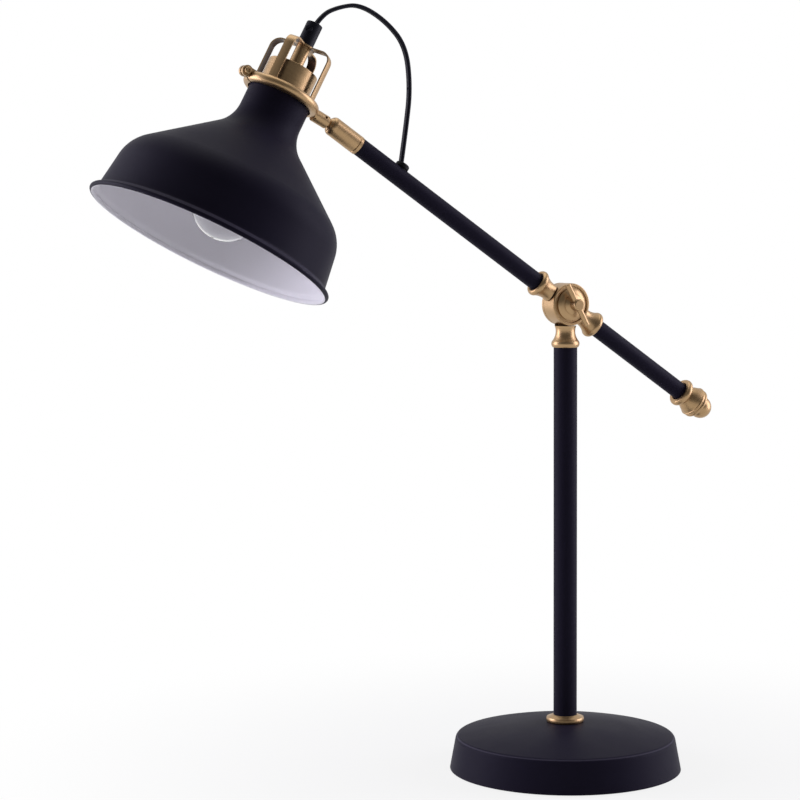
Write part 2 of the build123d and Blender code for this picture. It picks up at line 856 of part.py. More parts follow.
mouth_bore = sqrt(cap_bore**2 - cap_mouth_reach**2)
mouth_angle = atan2(cap_mouth_reach, mouth_bore)
with BuildPart() as socket_cap:
    with BuildSketch(arm_plane):
        with BuildLine():
            outside = Polyline(
                (cap_start, cap_bore),
                (cap_start, cap_radius),
                (cap_start + cap_bead, cap_radius),
                (cap_start + cap_bead + cap_groove, cap_radius - cap_groove),
                (cap_start + cap_bead + 2 * cap_groove, cap_radius),
                (cap_mouth - cap_shoulder, cap_radius),
            )
            shoulder = TangentArc(outside @ 1, (cap_mouth, mouth_bore + cap_lip), tangent=(1, 0))
            lip = Line(shoulder @ 1, (cap_mouth, mouth_bore))
            pocket = ThreePointArc(
                lip @ 1,
                (ball_station + cap_bore * sin(mouth_angle / 2), cap_bore * cos(mouth_angle / 2)),
                (ball_station, cap_bore),
            )
            Line(pocket @ 1, outside @ 0)
        make_face()
    revolve(axis=arm_axis)
save(socket_cap, "socket_cap")

with BuildPart() as ball_seat:
    revolve(
        outline(
            arm_plane,
            (seat_back, 0),
            (seat_back, cap_bore - running),
            (seat_front, cap_bore - running),
            (seat_front, 0),
        ),
        axis=arm_axis,
    )
    with Locations(ball_centre):
        Sphere(ball_radius + running, mode=Mode.SUBTRACT)
save(ball_seat, "ball_seat")

stub_end = stub_reach - ring_radius
stub_hole_dir = shade_up * sin(radians(stub_hole_turn)) - Vector(0, cos(radians(stub_hole_turn)), 0)
stub_pin_dir = shade_up * sin(radians(stub_pin_turn)) - Vector(0, cos(radians(stub_pin_turn)), 0)
with BuildPart() as ball_stud:
    with Locations(ball_centre):
        Sphere(ball_radius)
    revolve(
        outline(
            stub_plane,
            (ball_radius / 2, 0),
            (ball_radius / 2, stub_neck_radius),
            (stub_start - stub_taper, stub_neck_radius),
            (stub_start, stub_radius),
            (stub_end + ring_thickness, stub_radius),
            (stub_end + ring_thickness, 0),
        ),
        axis=stub_axis,
    )
    revolve(
        outline(
            head_plane,
            (0, ring_height - ring_depth),
            (ring_radius + slip, ring_height - ring_depth),
            (ring_radius + slip, ring_height + ring_depth),
            (0, ring_height + ring_depth),
        ),
        axis=head_axis,
        mode=Mode.SUBTRACT,
    )
    revolve(
        outline(
            stub_plane,
            (stub_start + stub_tail_inset, 0),
            (stub_start + stub_tail_inset, stub_tail_radius),
            (stub_end + ring_thickness - slip, stub_tail_radius),
            (stub_end + ring_thickness - slip, 0),
        ),
        axis=stub_axis,
    )
    with BuildSketch(Plane(origin=ball_centre + stub_dir * stub_hole_station, z_dir=stub_hole_dir)):
        Circle(stub_hole_radius)
    extrude(amount=2 * stub_radius, both=True, mode=Mode.SUBTRACT)
    with BuildSketch(Plane(origin=ball_centre + stub_dir * stub_pin_station, z_dir=stub_pin_dir)):
        Circle(stub_pin_radius)
    extrude(amount=2 * stub_radius, both=True, mode=Mode.SUBTRACT)
save(ball_stud, "ball_stud")

# Clamp ring: half-round band, split opposite the stub, with two ears for the screw
ear_centre = ring_centre + stub_dir * ear_reach + shade_up * ear_rise
ear_plane = Plane(origin=ear_centre, x_dir=stub_dir, z_dir=(0, 1, 0))
ear_outside = ring_split / 2 + ear_thickness
ear_neck_length = ear_reach - ring_bore - ear_root
with BuildPart() as clamp_ring:
    with BuildSketch(head_side_plane):
        with BuildLine():
            bore = Line((ring_bore, ring_bottom), (ring_bore, ring_top))
            over = Line(bore @ 1, (ring_bore + ring_flat, ring_top))
            crown = ThreePointArc(
                over @ 1,
                (ring_radius, ring_height),
                (ring_bore + ring_flat, ring_bottom),
            )
            Line(crown @ 1, bore @ 0)
        make_face()
    revolve(axis=head_axis)
    with BuildSketch(ear_plane):
        Circle(ear_radius)
        with Locations((-ear_neck_length / 2, 0)):
            Rectangle(ear_neck_length, ear_neck_width)
    extrude(amount=ear_outside, both=True)
    with BuildSketch(ear_plane):
        Rectangle(6 * ear_radius, 4 * ear_radius)
    extrude(amount=ring_split / 2, both=True, mode=Mode.SUBTRACT)
    with BuildSketch(ear_plane):
        Circle(ear_screw_radius + slip)
    extrude(amount=4 * ear_outside, both=True, mode=Mode.SUBTRACT)
    with BuildSketch(head_base.offset(ring_height - ring_depth)):
        Circle(ring_bore)
    extrude(amount=2 * ring_depth, mode=Mode.SUBTRACT)
    with BuildSketch(Plane(origin=ball_centre, z_dir=stub_dir)):
        Circle(stub_tail_radius + slip)
    extrude(amount=stub_reach, mode=Mode.SUBTRACT)
save(clamp_ring, "clamp_ring")

head_side = Plane(origin=ear_centre - Vector(0, ear_outside + slip, 0), x_dir=stub_dir, z_dir=(0, -1, 0))
nut_side = Plane(origin=ear_centre + Vector(0, ear_outside + slip, 0), x_dir=stub_dir, z_dir=(0, 1, 0))
with BuildPart() as ring_screw:
    with BuildSketch(head_side):
        Circle(ear_head_radius)
    extrude(amount=ear_head_height)
    fillet(ring_screw.faces().sort_by(Axis.Y)[0].edges(), ear_head_fillet)
    with BuildSketch(head_side.offset(ear_head_height)):
        RegularPolygon(ear_socket_radius, 6)
    extrude(amount=-ear_socket_depth, mode=Mode.SUBTRACT)
    with BuildSketch(head_side):
        Circle(ear_screw_radius)
    extrude(amount=-(2 * ear_outside + ear_nut_thickness + ear_screw_tail))
save(ring_screw, "ring_screw")

with BuildPart() as ring_nut:
    with BuildSketch(nut_side):
        RegularPolygon(ear_nut_across_flats / 2, 6, major_radius=False)
        Circle(ear_screw_radius + slip, mode=Mode.SUBTRACT)
    extrude(amount=ear_nut_thickness)
save(ring_nut, "ring_nut")

# Bell shade: neck, cone, shoulder, skirt and a flared lip with a rolled bead
with BuildPart() as shade:
    with BuildSketch(head_plane):
        with BuildLine() as skin:
            FilletPolyline(
                (shade_neck_radius, shade_neck_top),
                (shade_neck_radius, shade_neck_corner),
                (shade_shoulder_radius, shade_shoulder_height),
                (shade_skirt_radius, shade_skirt_end),
                (shade_lip_radius, shade_lip_height),
                radius=[shade_neck_fillet, shade_shoulder_fillet, shade_lip_fillet],
            )
            offset(amount=shade_wall, side=Side.RIGHT)
        make_face()
    revolve(axis=head_axis)
    with BuildSketch(head_plane):
        with Locations((shade_lip_radius - shade_bead_inset, shade_lip_height - shade_bead_drop)):
            Circle(shade_bead_radius)
    revolve(axis=head_axis)
save(shade, "shade")

# Cage: a stamped cross whose four straps run down between the shade's neck and the clamp ring
strap_inside = shade_neck_radius + slip


def cage_section(inset):
    """Half section of the cage's cup form, drawn inset from the outside of its straps."""
    side = strap_inside + cage_strap_thickness - inset
    roof = cage_top - inset
    with BuildSketch(head_plane) as drawn:
        with BuildLine():
            Polyline((0, ring_bottom), (side, ring_bottom), (side, roof), (0, roof), close=True)
        make_face()
        shoulder = drawn.sketch_local.vertices().sort_by(Axis.X)[-2:].sort_by(Axis.Y)[-1]
        fillet(shoulder, cage_corner_radius - inset)
    return drawn.sketch


with BuildPart() as cage:
    revolve(cage_section(0), axis=head_axis)
    revolve(cage_section(cage_strap_thickness), axis=head_axis, mode=Mode.SUBTRACT)
    with BuildSketch(head_base):
        Rectangle(4 * strap_inside, cage_strap_width, rotation=cage_turn)
        Rectangle(4 * strap_inside, cage_strap_width, rotation=cage_turn + 90)
        Circle(cage_plate_radius)
    extrude(amount=2 * cage_top, mode=Mode.INTERSECT)
    with BuildSketch(head_base):
        Circle(lamp_nipple_radius + slip)
    extrude(amount=2 * cage_top, mode=Mode.SUBTRACT)
save(cage, "cage")

# Socket cup, spacer tube and hollow nipple
with BuildPart() as socket_cup:
    revolve(
        outline(
            head_plane,
            (lamp_nipple_radius + slip, cup_top),
            (cup_radius, cup_top),
            (cup_radius, cup_bottom),
            (cup_radius - cup_wall, cup_bottom),
            (cup_radius - cup_wall, cup_top - cup_wall),
            (lamp_nipple_radius + slip, cup_top - cup_wall),
        ),
        axis=head_axis,
    )
    rims = socket_cup.edges().filter_by(GeomType.CIRCLE).sort_by(SortBy.RADIUS)[-2:]
    fillet(rims.sort_by(head_axis)[-1], cup_edge_fillet)
save(socket_cup, "socket_cup")

plate_under = cage_top - cage_strap_thickness
with BuildPart() as spacer_tube:
    with BuildSketch(head_base.offset(cup_top + slip)):
        Circle(spacer_radius)
        Circle(lamp_nipple_radius + slip, mode=Mode.SUBTRACT)
    extrude(amount=plate_under - cup_top - 2 * slip)
save(spacer_tube, "spacer_tube")

nipple_foot = holder_top - lamp_nipple_grip
nipple_head = cage_top + (grip_length - grip_mouth_depth) / 2
with BuildPart() as lamp_nipple:
    with BuildSketch(head_base.offset(nipple_foot)):
        Circle(lamp_nipple_radius)
        Circle(lead_bore, mode=Mode.SUBTRACT)
    extrude(amount=nipple_head - nipple_foot)
save(lamp_nipple, "lamp_nipple")

# Lampholder: body, screw shell and centre contact
with BuildPart() as holder_body:
    revolve(
        outline(
            head_plane,
            (holder_bore, holder_bottom),
            (cup_radius - cup_wall - slip, holder_bottom),
            (cup_radius - cup_wall - slip, holder_top),
            (lamp_nipple_radius + slip, holder_top),
            (lamp_nipple_radius + slip, nipple_foot - slip),
            (0, nipple_foot - slip),
            (0, holder_floor),
            (holder_bore, holder_floor),
        ),
        axis=head_axis,
    )
    fillet(holder_body.faces().sort_by(head_axis)[0].edges(), holder_fillet)
save(holder_body, "holder_body")

with BuildPart() as screw_shell:
    with BuildSketch(head_base.offset(holder_floor - shell_length - slip)):
        Circle(holder_bore - slip)
        Circle(holder_bore - slip - shell_wall, mode=Mode.SUBTRACT)
    extrude(amount=shell_length)
save(screw_shell, "screw_shell")

with BuildPart() as centre_contact:
    with BuildSketch(head_base.offset(bulb_contact_top + slip)):
        Circle(contact_radius)
    extrude(amount=holder_floor - slip - (bulb_contact_top + slip))
save(centre_contact, "centre_contact")

# Cord grip on top of the cage, with its side screw
grip_top = cage_top + slip + grip_length
screw_turn = radians(grip_screw_turn)
screw_dir = head_base.x_dir * cos(screw_turn) + head_base.y_dir * sin(screw_turn)
screw_level = head_base.origin + shade_up * (cage_top + grip_screw_height)
screw_seat = screw_level + screw_dir * (grip_radius + grip_screw_proud)
screw_plane = Plane(origin=screw_seat, z_dir=screw_dir)
with BuildPart() as cord_grip:
    with BuildSketch(head_base.offset(cage_top + slip)):
        Circle(grip_radius)
    extrude(amount=grip_length)
    fillet(cord_grip.faces().sort_by(head_axis)[-1].edges(), grip_fillet)
    revolve(
        outline(
            head_plane,
            (0, cage_top),
            (lamp_nipple_radius + slip, cage_top),
            (lamp_nipple_radius + slip, nipple_head + slip),
            (lead_bore, nipple_head + slip),
            (lead_bore, grip_top - grip_mouth_depth),
            (grip_mouth_radius, grip_top),
            (0, grip_top),
        ),
        axis=head_axis,
        mode=Mode.SUBTRACT,
    )
    with BuildSketch(screw_plane):
        Circle(grip_screw_radius + slip)
    extrude(amount=-grip_screw_depth - grip_screw_proud, mode=Mode.SUBTRACT)
save(cord_grip, "cord_grip")

with BuildPart() as grip_screw:
    with BuildSketch(screw_plane):
        Circle(grip_screw_radius)
    extrude(amount=-grip_screw_depth - grip_screw_proud + slip)
    with BuildSketch(screw_plane):
        Rectangle(3 * grip_screw_radius, grip_slot_width, rotation=grip_slot_turn)
    extrude(amount=-grip_slot_depth, mode=Mode.SUBTRACT)
save(grip_screw, "grip_screw")

# Bulb: clear glass envelope, screw cap with its contact, glass stem and filaments
neck_turn = radians(bulb_flank_angle)
with BuildPart() as bulb_glass:
    for inset, mode in ((0.0, Mode.ADD), (bulb_glass_wall, Mode.SUBTRACT)):
        globe = bulb_radius - inset
        throat = bulb_neck_radius - inset
        with BuildSketch(head_plane):
            with BuildLine():
                crown = ThreePointArc(
                    (0, bulb_centre - globe),
                    (globe, bulb_centre),
                    (globe * cos(neck_turn), bulb_centre + globe * sin(neck_turn)),
                )
                flank = Spline(
                    crown @ 1,
                    (throat, bulb_neck),
                    tangents=(crown % 1, (-bulb_neck_slope, 1)),
                )
                stop = Line(flank @ 1, (0, bulb_neck))
                Line(stop @ 1, crown @ 0)
            make_face()
        revolve(axis=head_axis, mode=mode)
save(bulb_glass, "bulb_glass")

with BuildPart() as bulb_cap:
    revolve(
        outline(
            head_plane,
            (0, bulb_neck + slip),
            (bulb_cap_radius, bulb_neck + slip),
            (bulb_cap_radius, bulb_neck + bulb_cap_thread),
            (bulb_cap_shoulder_radius, bulb_neck + bulb_cap_length),
            (bulb_contact_radius, bulb_neck + bulb_cap_length),
            (bulb_contact_tip, bulb_contact_top),
            (0, bulb_contact_top),
        ),
        axis=head_axis,
    )
save(bulb_cap, "bulb_cap")

stem_end = bulb_neck - bulb_stem_length
with BuildPart() as bulb_stem:
    revolve(
        outline(
            head_plane,
            (0, bulb_neck),
            (bulb_neck_radius - bulb_glass_wall - slip, bulb_neck),
            (bulb_stem_radius, bulb_neck - bulb_stem_flare),
            (bulb_stem_radius, stem_end),
            (0, stem_end),
        ),
        axis=head_axis,
    )
save(bulb_stem, "bulb_stem")

# Filaments lean outwards from the stem like the staves of a cone
filament_lean = atan2(filament_spread, filament_length)
filament_root = head_base.origin + shade_up * (stem_end - hand_gap)
with BuildPart() as bulb_filaments:
    for i in range(filament_count):
        turn = radians(360 / filament_count * i)
        spread = head_base.x_dir * cos(turn) + head_base.y_dir * sin(turn)
        foot = filament_root + spread * (bulb_stem_radius - filament_radius)
        lean = spread * sin(filament_lean) - shade_up * cos(filament_lean)
        with BuildSketch(Plane(origin=foot, z_dir=lean)):
            Circle(filament_radius)
        extrude(amount=filament_length)
save(bulb_filaments, "bulb_filaments")

# Grommet where the cord enters the arm
with BuildPart() as arm_grommet:
    with BuildSketch(grommet_plane.offset(-arm_tube_wall - grommet_tail)):
        Circle(grommet_body_radius)
    extrude(amount=arm_tube_wall + grommet_tail + grommet_height / 2)
    with BuildSketch(grommet_plane):
        Circle(grommet_flange_radius)
    extrude(amount=grommet_height)
    fillet(arm_grommet.faces().sort_by(Axis(hub_centre, arm_up))[-1].edges(), grommet_fillet)
    with BuildSketch(grommet_plane.offset(-2 * arm_tube_radius)):
        Circle(lead_bore)
    extrude(amount=4 * arm_tube_radius, mode=Mode.SUBTRACT)
    revolve(
        outline(
            arm_plane,
            (grommet_station - 2 * grommet_flange_radius, arm_tube_bore),
            (grommet_station - 2 * grommet_flange_radius, arm_tube_radius + slip),
            (grommet_station + 2 * grommet_flange_radius, arm_tube_radius + slip),
            (grommet_station + 2 * grommet_flange_radius, arm_tube_bore),
        ),
        axis=arm_axis,
        mode=Mode.SUBTRACT,
    )
    with BuildSketch(grommet_plane.offset(-arm_tube_wall - grommet_tail)):
        Circle(grommet_body_radius)
        Circle(lead_bore, mode=Mode.SUBTRACT)
    extrude(amount=arm_tube_wall + grommet_tail + grommet_height / 2)
save(arm_grommet, "arm_grommet")


def cord_radii(route):
    """Largest arc that each corner of a cord's route has room for."""
    radii = []
    for before, corner, after in zip(route, route[1:], route[2:]):
        arriving = Vector(*corner) - Vector(*before)
        leaving = Vector(*after) - Vector(*corner)
        half_turn = radians(arriving.get_angle(leaving) / 2)
        radii.append(cord_arc_share * min(arriving.length, leaving.length) / tan(half_turn))
    return radii


# Flat twin cord, in two stretches that meet end to end, broad side across the arm's plane
for name, route in (("cord_upper", cord_upper_route), ("cord_lower", cord_lower_route)):
    radii = cord_radii(route)
    points = [(x, 0, z) for x, z in route]
    with BuildPart() as cord:
        with BuildLine() as centre:
            FilletPolyline(*points, radius=radii)
        path = centre.wires()[0]
        with BuildSketch(Plane(origin=path @ 0, x_dir=(0, 1, 0), z_dir=path % 0)):
            SlotOverall(cord_width, cord_thickness)
        sweep(path=path)
    section = cord_thickness**2 * pi / 4 + (cord_width - cord_thickness) * cord_thickness
    print(name, "radii", [round(r, 1) for r in radii], "length", round(path.length, 1))
    print(name, "volume over section times length", round(cord.part.volume / (section * path.length), 4))
    save(cord, name)

# Leads inside the arm, the head and the column
with BuildPart() as arm_lead:
    revolve(
        outline(
            arm_plane,
            (nipple_end + lead_gap, 0),
            (nipple_end + lead_gap, lead_radius),
            (grommet_station + lead_radius, lead_radius),
            (grommet_station + lead_radius, 0),
        ),
        axis=arm_axis,
    )
    with BuildSketch(Plane(origin=hub_centre + arm_dir * grommet_station, z_dir=arm_up)):
        Circle(lead_radius)
    extrude(amount=arm_tube_bore)
save(arm_lead, "arm_lead")

with BuildPart() as head_lead:
    with BuildSketch(head_base.offset(nipple_foot)):
        Circle(lead_radius)
    extrude(amount=grip_top - grip_mouth_depth - nipple_foot)
save(head_lead, "head_lead")

with BuildPart() as column_lead:
    with BuildSketch(Plane.XY.offset(rod_bottom)):
        Circle(lead_radius)
    extrude(amount=hub_bore_top - slip - rod_bottom)
save(column_lead, "column_lead")
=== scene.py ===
import json
import math

import bmesh
import bpy
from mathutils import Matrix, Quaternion, Vector


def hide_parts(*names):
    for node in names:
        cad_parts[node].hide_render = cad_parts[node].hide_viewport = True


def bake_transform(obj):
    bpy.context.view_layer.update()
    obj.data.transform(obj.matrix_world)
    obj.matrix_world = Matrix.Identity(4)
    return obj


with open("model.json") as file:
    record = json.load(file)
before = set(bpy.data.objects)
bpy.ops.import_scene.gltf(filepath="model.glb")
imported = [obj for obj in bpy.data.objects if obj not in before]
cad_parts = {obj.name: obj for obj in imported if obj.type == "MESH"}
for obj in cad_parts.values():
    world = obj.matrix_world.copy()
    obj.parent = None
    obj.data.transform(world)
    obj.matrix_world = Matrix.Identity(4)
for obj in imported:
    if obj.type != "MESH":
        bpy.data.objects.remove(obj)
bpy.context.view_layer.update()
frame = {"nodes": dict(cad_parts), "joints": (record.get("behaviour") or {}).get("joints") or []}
nodes = frame["nodes"]
joints = {joint["name"]: joint for joint in frame["joints"]}

# Camera of the photograph: places in metres, lens and sensor in mm
camera_place = Vector((-1.00327, -1.59433, 0.45887))
camera_forward = Vector((0.469699, 0.87891, -0.083067))
camera_roll = math.radians(-0.29)
camera_lens = 105.2
camera_sensor = 36.0
camera_near = 0.05
camera_far = 100.0

# The cord's route in the lamp's middle plane, the same points as its solids have
cord_upper_route = [
    (-0.2240, 0.5911),
    (-0.2161, 0.6021),
    (-0.2020, 0.6081),
    (-0.1846, 0.6108),
    (-0.1621, 0.5991),
    (-0.15335, 0.5897),
]
cord_lower_route = [
    (-0.15335, 0.5897),
    (-0.1446, 0.5803),
    (-0.1410, 0.5486),
    (-0.1449, 0.5180),
    (-0.1496, 0.4893),
]
# The scene's stretches meet lower than the solids do, so that the whole loop above lies in the upper stretch
cord_meeting_height = 0.5486
cord_width = 0.0052
cord_lobe_radius = 0.0016
cord_ring_points = 32
cord_steps = 16
cord_order = 3

# Axes that the turned pieces were turned on
straight_up = Vector((0, 0, 1))
hub_centre = Vector(joints["arm_tilt"]["pos_m"])
arm_dir = Vector(joints["head_swivel"]["axis"])
ball_centre = Vector(joints["head_tilt"]["pos_m"])
pivot_dir = Vector((0, -1, 0))
shade_tilt = math.radians(28.4)
shade_up = Vector((math.sin(shade_tilt), 0, math.cos(shade_tilt)))
stub_dir = Vector((-math.cos(shade_tilt), 0, math.sin(shade_tilt)))
shade_axis_offset = 0.04913
shade_centre = ball_centre + stub_dir * shade_axis_offset
column_axis = (Vector((0, 0, 0)), straight_up)
arm_axis = (hub_centre, arm_dir)
pivot_axis = (hub_centre, pivot_dir)
shade_axis = (shade_centre, shade_up)
stub_axis = (ball_centre, stub_dir)

# Black powder coat, and the paler colours of a painted highlight on its edges
coat_shallow = (0.0115, 0.0097, 0.0205)
coat_deep = (0.0150, 0.0127, 0.0265)
highlight_dim = (0.044, 0.040, 0.062)
highlight_bright = (0.058, 0.053, 0.080)
coat_gloss = 0.05
coat_roughness = (0.48, 0.56)
coat_drift_scale = 22.0
coat_grain_scale = 2400.0
coat_peel_depth = 0.00006
coat_peel_strength = 0.6

# Painted highlights on edges: how far their normals rise along an axis, the slack in that, and where the
# shade's lip starts
base_highlight_rise = 0.70
base_highlight_slack = 0.17
lip_highlight_rise = 0.70
lip_highlight_slack = 0.25
shade_lip_height = -0.1205
highlight_core_share = 0.2

# White enamel inside the shade
enamel_dim = (0.86, 0.85, 0.87)
enamel_bright = (0.91, 0.90, 0.92)

# Brushed brass, with painted shade darkening the inner face of the straps
brass_dark = (0.375, 0.242, 0.124)
brass_pale = (0.445, 0.298, 0.160)
strap_shade_dark = (0.030, 0.016, 0.010)
strap_shade_pale = (0.055, 0.030, 0.019)
brass_roughness = (0.35, 0.40)
brush_scale = 1000.0
brush_depth = 0.000004
brush_strength = 0.3
tarnish_scale = 60.0
# Metres of brushing for each radian round a turned piece and round the cage, and for each metre along a strap
turned_stretch = 0.0012
strap_spacing = 0.02
strap_stretch = 0.04

# Moulded plastic and rubber
moulded_gloss = 0.12

# Floor: white where it is far from the base, a little darker near it
floor_radius = 9.0
floor_sides = 96
floor_drop = 0.0003
floor_matte = (0.75, 0.75, 0.75, 1.0)
fade_near = 0.10
fade_far = 0.55
floor_white_near = 0.84
floor_white_far = 1.0

# World: plain ambient light, and what metal and glass show of the room behind the object and before it
white = (1.0, 1.0, 1.0, 1.0)
ambient = 0.15
room_behind = 0.9
room_before = 0.16
room_turn_from = -0.3
room_turn_to = 0.7

# Lamps: angles from the camera's side towards its right, in degrees, and radiances
aim = Vector((-0.13, 0, 0.32))
lamp_tint = (0.88, 0.85, 1.0)
lamp_plain = (1.0, 1.0, 1.0)
side_lamp_size = (0.9, 1.5)
side_lamp_distance = 1.5
side_lamp_height = 0.55
left_lamp_angle = -96
left_lamp_radiance = 5.2
right_lamp_angle = 98
right_lamp_radiance = 4.2
top_lamp_size = (1.2, 1.2)
top_lamp_distance = 0.3
top_lamp_height = 1.9
top_lamp_angle = 180
top_lamp_radiance = 1.2

scene = bpy.context.scene
scene.view_settings.view_transform = "Standard"


def link(obj):
    """Put an object in the scene."""
    scene.collection.objects.link(obj)
    return obj


def make_camera():
    """The photograph's camera."""
    data = bpy.data.cameras.new("camera")
    data.lens = camera_lens
    data.sensor_width = camera_sensor
    data.clip_start = camera_near
    data.clip_end = camera_far
    camera = link(bpy.data.objects.new("camera", data))
    camera.location = camera_place
    camera.rotation_mode = "QUATERNION"
    camera.rotation_quaternion = camera_forward.to_track_quat("-Z", "Y") @ Quaternion((0, 0, 1), camera_roll)
    scene.camera = camera


make_camera()


# Node building

# Sockets of a Mix node that mixes colours
mix_share, mix_first, mix_second, mix_result = 0, 6, 7, 2
# Where most values of a noise texture lie
noise_low, noise_high = 0.3, 0.7


def add(tree, kind, inputs=None, **settings):
    """Add a node, set its settings, and feed its inputs with values or with other nodes' outputs."""
    made = tree.nodes.new(kind)
    for key, value in settings.items():
        setattr(made, key, value)
    for socket, value in (inputs or {}).items():
        if isinstance(value, bpy.types.NodeSocket):
            tree.links.new(value, made.inputs[socket])
        else:
            made.inputs[socket].default_value = value
    return made


def calc(tree, operation, *values):
    """Result of a Math node."""
    return add(tree, "ShaderNodeMath", dict(enumerate(values)), operation=operation).outputs[0]


def vector_node(tree, operation, *values):
    """Outputs of a Vector Math node: its Vector, or its Value where it gives a number."""
    return add(tree, "ShaderNodeVectorMath", dict(enumerate(values)), operation=operation).outputs


def combine(tree, *values):
    """A vector of up to three numbers."""
    return add(tree, "ShaderNodeCombineXYZ", dict(enumerate(values))).outputs[0]


def eased(tree, value, start, end, low, high):
    """Low up to where a value reaches a start, easing to high at an end."""
    made = add(
        tree,
        "ShaderNodeMapRange",
        {"Value": value, "From Min": start, "From Max": end, "To Min": low, "To Max": high},
        interpolation_type="SMOOTHSTEP",
    )
    return made.outputs["Result"]


def noise(tree, place, scale, detail=3.0, roughness=0.55):
    """Value of a noise texture at a place, from 0 to 1."""
    made = add(
        tree,
        "ShaderNodeTexNoise",
        {"Vector": place, "Scale": scale, "Detail": detail, "Roughness": roughness},
    )
    return made.outputs["Fac"]


def spread(tree, value, low, high):
    """Stretch the middle of a noise value to the range from low to high."""
    made = add(
        tree,
        "ShaderNodeMapRange",
        {"Value": value, "From Min": noise_low, "From Max": noise_high, "To Min": low, "To Max": high},
    )
    return made.outputs["Result"]


def pick(tree, share, first, second):
    """Mix of two colours or colour outputs."""
    made = add(
        tree,
        "ShaderNodeMix",
        {mix_share: share, mix_first: first, mix_second: second},
        data_type="RGBA",
    )
    return made.outputs[mix_result]


def between(tree, share, first, second):
    """Mix of two plain colours, written without alpha."""
    return pick(tree, share, (*first, 1.0), (*second, 1.0))


def new_material(name):
    """A node material, its tree, its shader and its object coordinates."""
    made = bpy.data.materials.new(name)
    made.use_nodes = True
    tree = made.node_tree
    shader = tree.nodes["Principled BSDF"]
    place = add(tree, "ShaderNodeTexCoord").outputs["Object"]
    return made, tree, shader, place


def dress(tree, shader, colour, roughness):
    """Feed a colour and a roughness into the shader."""
    tree.links.new(colour, shader.inputs["Base Color"])
    tree.links.new(roughness, shader.inputs["Roughness"])


def bump(tree, shader, height, distance, strength):
    """Feed a height into the shader's normal."""
    made = add(tree, "ShaderNodeBump", {"Height": height, "Distance": distance, "Strength": strength})
    tree.links.new(made.outputs["Normal"], shader.inputs["Normal"])


def facing(tree):
    """The surface's normal in the object's coordinates."""
    return tree.nodes["Texture Coordinate"].outputs["Normal"]


def turned_place(tree, place, axis):
    """Coordinates of a turned piece: height along its axis, radius, and the turn about it."""
    centre, direction = axis
    across = direction.orthogonal().normalized()
    along = direction.cross(across)
    offset = vector_node(tree, "SUBTRACT", place, centre)["Vector"]
    ways = (direction, across, along)
    height, first, second = (vector_node(tree, "DOT_PRODUCT", offset, way)["Value"] for way in ways)
    radius = vector_node(tree, "LENGTH", combine(tree, first, second))["Value"]
    turn = calc(tree, "ARCTAN2", first, second)
    return height, radius, turn


def inner_side(tree, place, axis):
    """1 where a wall faces its axis, and 0 where it faces away from it."""
    centre, direction = axis
    offset = vector_node(tree, "SUBTRACT", place, centre)["Vector"]
    height = vector_node(tree, "DOT_PRODUCT", offset, direction)["Value"]
    rise = add(tree, "ShaderNodeVectorMath", {0: direction, "Scale": height}, operation="SCALE")
    outward = vector_node(tree, "SUBTRACT", offset, rise.outputs["Vector"])["Vector"]
    side = vector_node(tree, "DOT_PRODUCT", outward, facing(tree))["Value"]
    return calc(tree, "LESS_THAN", side, 0.0)


def leaning(tree, axis_dir, rise, slack):
    """1 where a surface's normal has one rise along a direction, fading to 0 at a slack to either side."""
    leant = vector_node(tree, "DOT_PRODUCT", facing(tree), axis_dir)["Value"]
    away = calc(tree, "ABSOLUTE", calc(tree, "SUBTRACT", leant, rise))
    return eased(tree, away, highlight_core_share * slack, slack, 1.0, 0.0)


# Materials


def coat_surface(tree, shader, place):
    """Gloss and fine orange peel of a powder coat; gives its slow drift, its black and its roughness."""
    drift = noise(tree, place, coat_drift_scale)
    grain = noise(tree, place, coat_grain_scale, detail=2.0)
    shader.inputs["Specular IOR Level"].default_value = coat_gloss
    bump(tree, shader, grain, coat_peel_depth, coat_peel_strength)
    return drift, between(tree, drift, coat_shallow, coat_deep), spread(tree, drift, *coat_roughness)


def powder_coat(name, highlight_lean=None):
    """Satin black powder coat, with a painted highlight: a paler band where an edge's normal leans at a given
    rise.
    """
    made, tree, shader, place = new_material(name)
    drift, colour, roughness = coat_surface(tree, shader, place)
    if highlight_lean is not None:
        # painted highlight: a paler band where the edge's normal leans up at the given rise
        painted_highlight = leaning(tree, straight_up, highlight_lean, base_highlight_slack)
        colour = pick(tree, painted_highlight, colour, between(tree, drift, highlight_dim, highlight_bright))
    dress(tree, shader, colour, roughness)
    return made


def shade_coat(name):
    """Powder coat outside, with a painted highlight as a paler band along the lip, and white enamel inside,
    told apart by which way the wall faces its axis.
    """
    made, tree, shader, place = new_material(name)
    drift, black, roughness = coat_surface(tree, shader, place)
    height, _, _ = turned_place(tree, place, shade_axis)
    # painted highlight: a paler band on the lip's bead, where the normal leans at the given rise along the
    # shade's axis
    at_lip = calc(tree, "LESS_THAN", height, shade_lip_height)
    painted_highlight = calc(tree, "MULTIPLY", leaning(tree, shade_up, lip_highlight_rise, lip_highlight_slack), at_lip)
    black = pick(tree, painted_highlight, black, between(tree, drift, highlight_dim, highlight_bright))
    enamel = between(tree, drift, enamel_dim, enamel_bright)
    dress(tree, shader, pick(tree, inner_side(tree, place, shade_axis), black, enamel), roughness)
    return made


